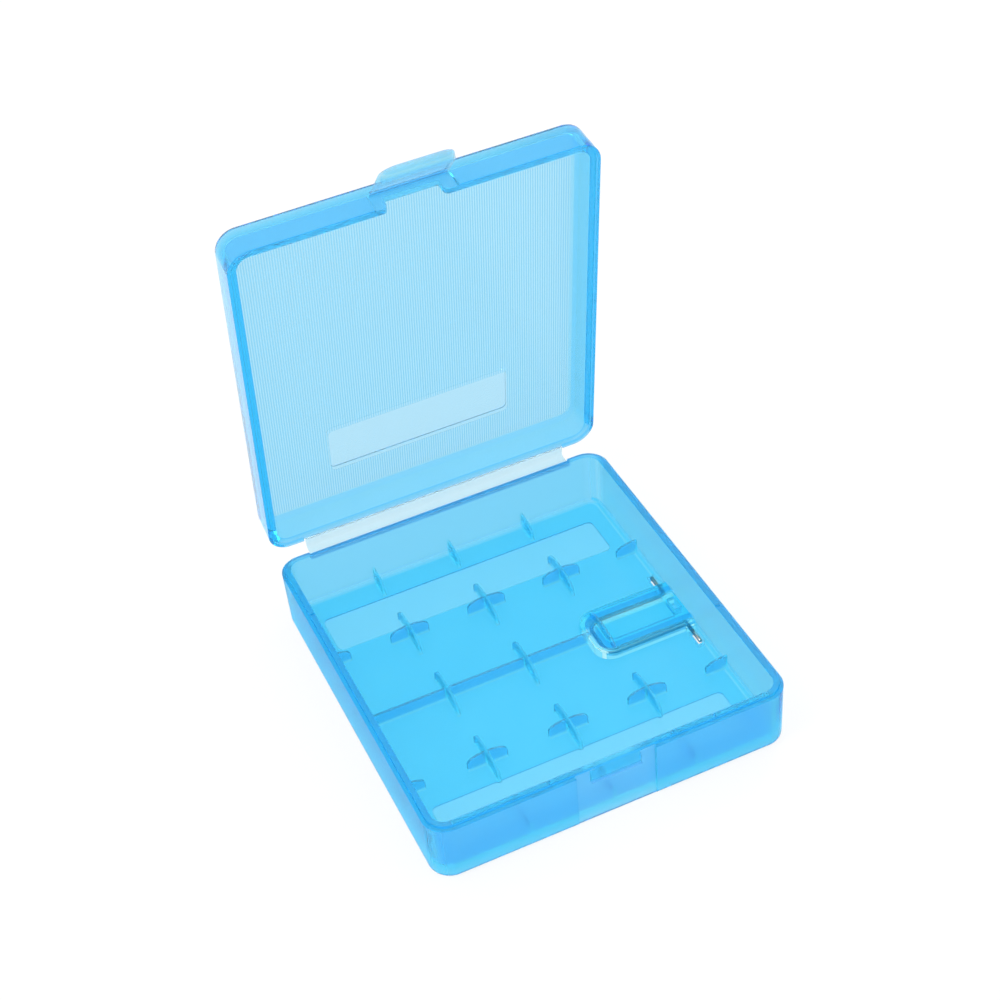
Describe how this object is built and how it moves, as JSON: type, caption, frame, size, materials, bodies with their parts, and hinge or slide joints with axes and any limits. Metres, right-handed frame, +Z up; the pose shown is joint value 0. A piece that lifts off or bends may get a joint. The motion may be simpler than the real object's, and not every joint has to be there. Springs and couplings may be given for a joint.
{
  "type": "hinged battery storage case",
  "caption": "Shallow translucent snap case for round cells: divided tray, film-hinged lid, latch flap and folding wire bail.",
  "frame": {"origin": "middle of the tray's underside, on the surface the case stands on", "axes": "+X right along the lid's hinge, +Y from the latch side to the hinge, +Z up; the lid stands open at rest"},
  "size_m": [0.076, 0.0932, 0.1086],
  "materials": {
    "tray_plastic": "glossy translucent light blue",
    "lid_plastic": "glossy translucent light blue, finely ribbed panel",
    "hinge_plastic": "thin translucent film, satin",
    "latch_plastic": "glossy translucent light blue",
    "bail_steel": "bright drawn wire"
  },
  "bodies": {
    "tray": {"tray_shell": "tray_plastic", "hinge_leaf_tray": "hinge_plastic"},
    "lid": {"lid_shell": "lid_plastic", "hinge_leaf_lid": "hinge_plastic"},
    "latch": {"latch_flap": "latch_plastic"},
    "bail": {"wire_bail": "bail_steel"}
  },
  "joints": [
    {"name": "lid_hinge", "type": "hinge", "parent": "tray", "child": "lid", "pos_m": [0, 0.0434, 0.014], "axis": [-1, 0, 0], "range_deg": [-81.6, 98.4]},
    {"name": "latch_hinge", "type": "hinge", "parent": "lid", "child": "latch", "pos_m": [0, 0.03539, 0.09904], "axis": [-1, 0, 0], "range_deg": [-57, 45]},
    {"name": "bail_pivot", "type": "hinge", "parent": "tray", "child": "bail", "pos_m": [0.0348, 0, 0.0016], "axis": [0, -1, 0], "range_deg": [0, 120]}
  ]
}
